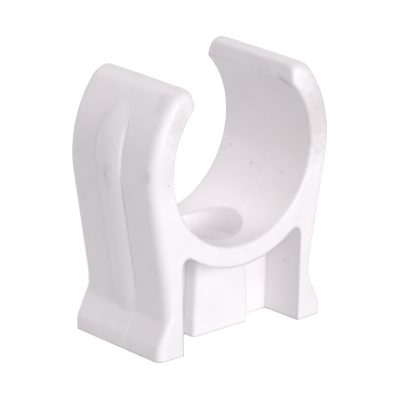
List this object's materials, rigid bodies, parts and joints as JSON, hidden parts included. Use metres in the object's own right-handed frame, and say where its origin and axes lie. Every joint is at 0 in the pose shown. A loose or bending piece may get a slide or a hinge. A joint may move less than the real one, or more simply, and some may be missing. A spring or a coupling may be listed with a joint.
{
  "type": "pipe clip",
  "caption": "Open snap-in pipe clip moulded in white plastic: springy arms hold a pipe over a saddle that one screw fixes to a wall.",
  "frame": {"origin": "middle of the flat face that is screwed to the wall or floor", "axes": "+Z away from that face and out of the mouth, +Y along the pipe towards the back, +X across to the right arm"},
  "size_m": [0.0298, 0.0154, 0.0325],
  "materials": {
    "white_plastic": "satin"
  },
  "bodies": {
    "root": {"pipe_clip": "white_plastic"}
  },
  "joints": []
}
